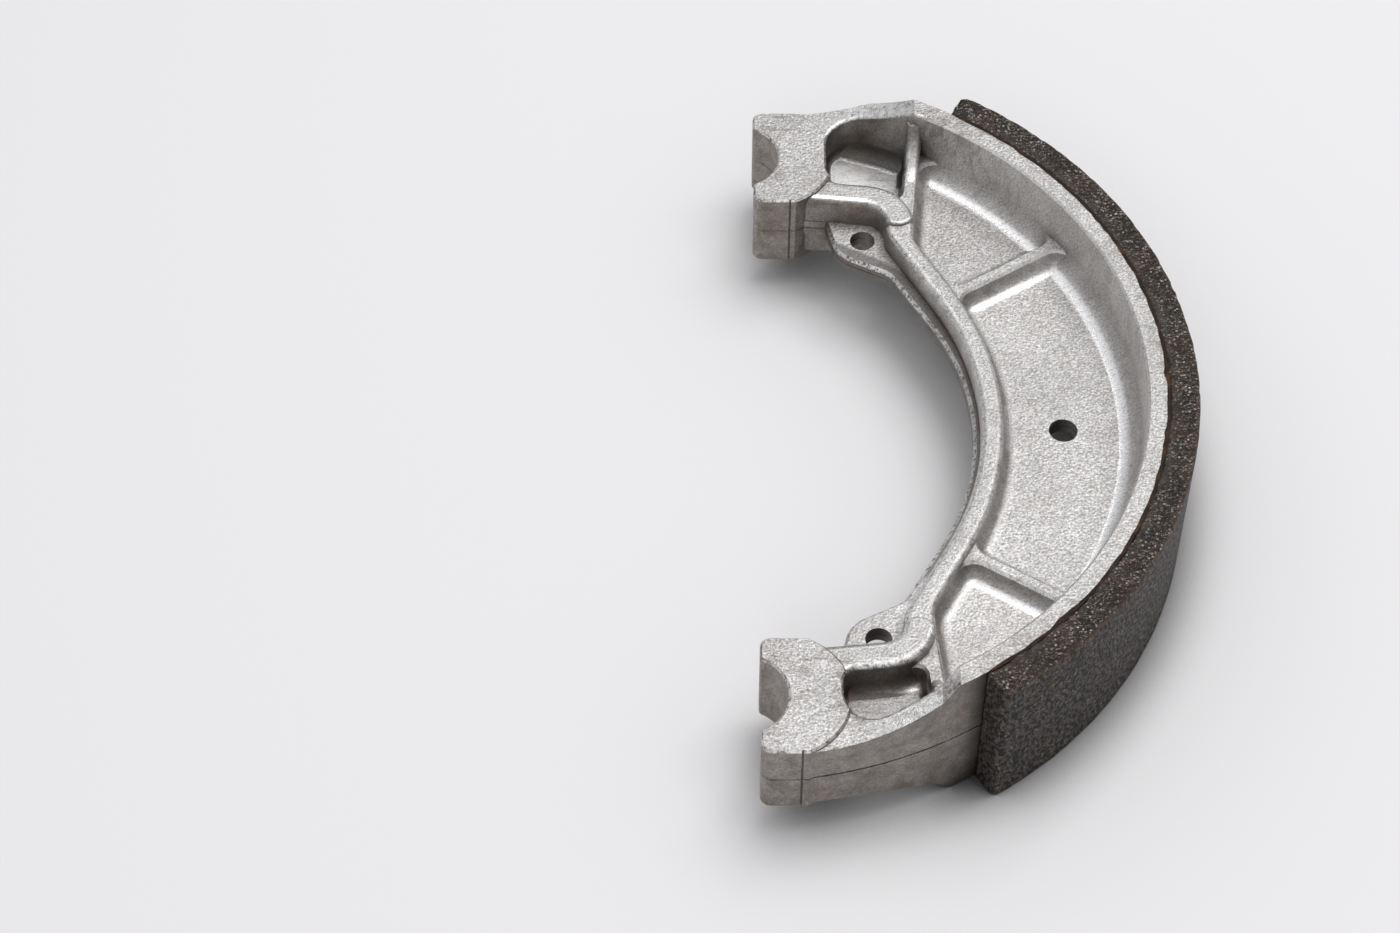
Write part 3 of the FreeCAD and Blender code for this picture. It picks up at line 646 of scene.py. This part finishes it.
def box_outline(low_r, high_r, low_z, high_z, step, bevel):
    """Points round a box section in (radius, height), its two outer corners cut by a bevel.

    Each side is cut into even parts of about one step, each at start + (end - start) x share.
    """
    corners = np.array([(low_r, low_z), (high_r - bevel, low_z), (high_r, low_z + bevel),
                        (high_r, high_z - bevel), (high_r - bevel, high_z), (low_r, high_z)])
    sides = []
    for start, end in zip(corners, np.roll(corners, -1, axis=0)):
        count = max(2, int(round(np.hypot(*(end - start)) / step)))
        share = np.arange(count)[:, None] / count
        sides.append(start + (end - start) * share)
    return np.concatenate(sides)


def lining_rings(half_angle, outer, step):
    """Angle and scale of each ring: even angles at full size, and shrunken rings at both ends."""
    count = int(2 * half_angle * outer / step)
    shrink = np.linspace(*CAP_SCALES, CAP_RINGS)
    angle = np.concatenate([np.full(CAP_RINGS, -half_angle),
                            np.linspace(-half_angle, half_angle, count),
                            np.full(CAP_RINGS, half_angle)])
    return angle, np.concatenate([shrink, np.ones(count), shrink[::-1]])


def nearness(distance):
    """1 on an edge, falling in a straight line to 0 at the far side of the worn band."""
    return np.clip(1.0 - distance / WORN_BAND, 0.0, 1.0)


def lining_surface(sizes, material):
    """Friction lining as a box section swept about the drum axis, worn and chipped.

    Section point (r, z) at angle a stands at (r cos a, r sin a, z). Near each end the outer
    radius falls along a quarter circle. Noise pushes the skin inwards, most along the edges,
    so that no point leaves the clean shape.
    """
    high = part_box("friction_lining")[1]
    inner = (high.x - sizes.thickness) / MM
    outer, width = high.x / MM, high.z / MM
    step, corner = sizes.step / MM, sizes.corner / MM
    section = box_outline(inner, outer, 0.0, width, step, sizes.bevel / MM)
    middle = section.mean(axis=0)
    angle, scale = lining_rings(sizes.half_angle, outer, step)
    from_end = (sizes.half_angle - np.abs(angle)) * outer
    reach = np.clip(corner - from_end, 0.0, corner)
    drop = corner - np.sqrt(corner ** 2 - reach ** 2)
    share = np.clip((section[:, 0] - inner) / (outer - inner), 0.0, 1.0)
    angle, scale, drop = angle[:, None], scale[:, None], drop[:, None]
    radius = middle[0] + (section[:, 0] - drop * share - middle[0]) * scale
    height = middle[1] + (section[:, 1] - middle[1]) * scale
    angle = np.repeat(angle, len(section), axis=1)

    near_outer, near_inner = nearness(outer - radius), nearness(radius - inner)
    near_top, near_foot = nearness(width - height), nearness(height)
    near_end = nearness(np.maximum(from_end, 0.0))[:, None]
    edge = np.maximum.reduce([near_outer * near_top, near_outer * near_foot,
                              near_end * near_top, near_end * near_outer, near_top * near_inner])
    flat = swept(radius, angle, height).reshape(-1, 3)
    chips = np.clip(layered_noise(flat, CHIP_CELL, CHIP_SEED) * 2.4 - 1.05, 0.0, 1.0)
    chips = chips.reshape(edge.shape)
    grit = layered_noise(flat, GRIT_CELL, GRIT_SEED).reshape(edge.shape)
    depth = sizes.chip / MM * chips * edge + sizes.grit / MM * grit

    on_face = (near_outer > ON_SKIN) * scale ** CAP_FADE
    on_top = (near_top > ON_SKIN) * scale ** CAP_FADE
    on_edge = edge * EDGE_WEAR
    inwards = np.where(section[:, 0] > middle[0], np.maximum(on_face, on_edge), -on_edge)
    radius = radius - depth * inwards
    height = height - depth * np.maximum(on_top, on_edge * np.sign(near_top - near_foot))
    angle = angle - np.sign(angle) * depth * near_end / outer
    poles = [swept(middle[0], side, middle[1]) for side in (-sizes.half_angle, sizes.half_angle)]
    return grid_piece("lining", swept(radius, angle, height), poles, material)


def lip_width(sizes, along, seed):
    """Width of the pressed-out lip: a usual width in a wave, and extra width at the lumps."""
    wave = layered_noise(along, 2.4, seed, 4)
    lump = np.clip(layered_noise(along, 6.0, seed + 9) * 4.0 - 2.3, 0.0, 1.0)
    return (sizes.spill * (0.4 + 1.2 * wave) + sizes.blob * lump * wave) / MM


def bond_surface(sizes, material):
    """Bond line as a thin wall swept about the drum axis, with adhesive pressed out at both rims.

    Section point (r, z) at angle a stands at (r cos a, r sin a, z). The wall fills the gap under
    the lining; at its top and foot a thin lip reaches inwards over the rim by a width that
    follows layered noise of the place along the rim and fades to nothing at the two ends.
    """
    low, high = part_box("adhesive_film")
    outer = high.x / MM - BOND_CLEAR
    inner = outer - sizes.layer / MM
    foot, top = BOND_INSET, (low.z + high.z) / MM - BOND_INSET
    count = int(2 * sizes.half_angle * outer / BOND_STEP)
    angle = np.linspace(-sizes.half_angle, sizes.half_angle, count)
    fade = np.clip((sizes.half_angle - np.abs(angle)) * outer / LIP_FADE, 0.0, 1.0)
    along = np.stack([angle * outer, np.zeros(count), np.zeros(count)], axis=-1)
    over, under = (inner - lip_width(sizes, along, seed) * fade - LIP_LEAST
                   for seed in LIP_SEEDS)
    wall_in, wall_out = np.full(count, inner), np.full(count, outer)
    section = ((under, foot), (wall_out, foot), (wall_out, top), (over, top),
               (over, top - LIP_HEIGHT), (wall_in, top - LIP_HEIGHT),
               (wall_in, foot + LIP_HEIGHT), (under, foot + LIP_HEIGHT))
    radius = np.stack([corner[0] for corner in section], axis=-1)
    height = np.broadcast_to([corner[1] for corner in section], radius.shape)
    poles = [swept((inner + outer) / 2, side, (foot + top) / 2)
             for side in (-sizes.half_angle, sizes.half_angle)]
    piece = grid_piece("bond_line", swept(radius, angle[:, None], height), poles, material)
    piece.data.polygons.foreach_set("use_smooth", np.zeros(len(piece.data.polygons), bool))
    return piece


# Stage

def lay_floor(sizes):
    """Square floor just under the shoe."""
    mesh = bpy.data.meshes.new("floor")
    corners = ((-1, -1), (1, -1), (1, 1), (-1, 1))
    mesh.from_pydata([(x * FLOOR_REACH, y * FLOOR_REACH, -FLOOR_DROP) for x, y in corners],
                     [], [(0, 1, 2, 3)])
    floor = bpy.data.objects.new("floor", mesh)
    floor.data.materials.append(pale_floor(sizes))
    bpy.context.scene.collection.objects.link(floor)


def studio_dome():
    """Soft dome of light, brightest overhead and dimmer towards the horizon."""
    world = bpy.data.worlds.new("studio")
    world.use_nodes = True
    tree = world.node_tree
    start = tree.nodes.new("ShaderNodeTexCoord")
    split = tree.nodes.new("ShaderNodeSeparateXYZ")
    rise = tree.nodes.new("ShaderNodeMapRange")
    rise.inputs["To Min"].default_value, rise.inputs["To Max"].default_value = DOME_STRENGTH
    background = tree.nodes["Background"]
    background.inputs["Color"].default_value = DOME_COLOUR
    tree.links.new(start.outputs["Generated"], split.inputs[0])
    tree.links.new(split.outputs["Z"], rise.inputs["Value"])
    tree.links.new(rise.outputs[0], background.inputs["Strength"])
    return world


def softbox(name, place, target, width, power):
    """Square lamp at a place, turned to its target."""
    lamp = bpy.data.lights.new(name, "AREA")
    lamp.shape = "SQUARE"
    lamp.size = width
    lamp.energy = power
    piece = bpy.data.objects.new(name, lamp)
    piece.location = place
    piece.rotation_euler = (Vector(target) - Vector(place)).to_track_quat("-Z", "Y").to_euler()
    bpy.context.scene.collection.objects.link(piece)


def set_camera(sizes):
    """Camera in front of the shoe, tipped down at it."""
    lens = bpy.data.cameras.new("camera")
    lens.sensor_width = SENSOR
    lens.lens = sizes.lens
    lens.clip_start = 0.01
    camera = bpy.data.objects.new("camera", lens)
    camera.location = CAMERA_PLACE
    camera.rotation_euler = Euler((math.pi / 2 - CAMERA_TIP, 0.0, 0.0))
    bpy.context.scene.collection.objects.link(camera)
    bpy.context.scene.camera = camera


# Operators and panel

class BRAKESHOE_OT_casting(bpy.types.Operator):
    """Gives the cast shoe its metal skin."""
    bl_idname = "brakeshoe.casting"
    bl_label = "Casting"

    def execute(self, context):
        dress("shoe_casting", cast_metal(context.scene.shoe_casting_finish))
        return {"FINISHED"}


class BRAKESHOE_OT_lining(bpy.types.Operator):
    """Makes the friction lining with its worn edges and gritty, flecked look."""
    bl_idname = "brakeshoe.lining"
    bl_label = "Friction lining"

    def execute(self, context):
        sizes = context.scene.shoe_lining_finish
        piece = lining_surface(sizes, friction_material(sizes))
        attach(piece, "root")
        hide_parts("friction_lining")
        return {"FINISHED"}


class BRAKESHOE_OT_bond(bpy.types.Operator):
    """Makes the bond line between rim and lining, with a little adhesive pressed out."""
    bl_idname = "brakeshoe.bond"
    bl_label = "Bond line"

    def execute(self, context):
        sizes = context.scene.shoe_bond_finish
        piece = bond_surface(sizes, cured_glue(sizes))
        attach(piece, "root")
        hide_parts("adhesive_film")
        return {"FINISHED"}


class BRAKESHOE_OT_stage(bpy.types.Operator):
    """Sets out the pale floor, the soft lights and the camera."""
    bl_idname = "brakeshoe.stage"
    bl_label = "Stage"

    def execute(self, context):
        sizes = context.scene.shoe_stage
        lay_floor(sizes)
        softbox("overhead softbox", (0.24, 0.19, 0.89), SHOE_MIDDLE, 0.62, 4.0)
        softbox("front softbox", (-0.1, -0.75, 0.65), SHOE_MIDDLE, 0.3, 0.65)
        context.scene.world = studio_dome()
        set_camera(sizes)
        context.scene.view_settings.view_transform = "Standard"
        return {"FINISHED"}


class BRAKESHOE_PT_panel(bpy.types.Panel):
    """Lists the shoe's pieces and their finishes."""
    bl_idname = "BRAKESHOE_PT_panel"
    bl_label = "Brake shoe"
    bl_space_type = "VIEW_3D"
    bl_region_type = "UI"
    bl_category = "Brake shoe"

    def draw(self, context):
        for name, group, operator in ROWS:
            box = self.layout.box()
            box.operator(operator.bl_idname)
            for key in group.__annotations__:
                box.prop(getattr(context.scene, name), key)


# Rows of the panel: the scene's property, its group, and the operator that reads it
ROWS = (
    ("shoe_casting_finish", CastingFinish, BRAKESHOE_OT_casting),
    ("shoe_lining_finish", LiningFinish, BRAKESHOE_OT_lining),
    ("shoe_bond_finish", BondFinish, BRAKESHOE_OT_bond),
    ("shoe_stage", StageSetting, BRAKESHOE_OT_stage),
)


def register():
    for name, group, operator in ROWS:
        bpy.utils.register_class(group)
        setattr(bpy.types.Scene, name, bpy.props.PointerProperty(type=group))
        bpy.utils.register_class(operator)
    bpy.utils.register_class(BRAKESHOE_PT_panel)


def unregister():
    bpy.utils.unregister_class(BRAKESHOE_PT_panel)
    for name, group, operator in reversed(ROWS):
        bpy.utils.unregister_class(operator)
        delattr(bpy.types.Scene, name)
        bpy.utils.unregister_class(group)


def main():
    """Registers the classes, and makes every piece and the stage."""
    register()
    bpy.ops.brakeshoe.casting()
    bpy.ops.brakeshoe.lining()
    bpy.ops.brakeshoe.bond()
    bpy.ops.brakeshoe.stage()


if __name__ == "__main__":
    main()
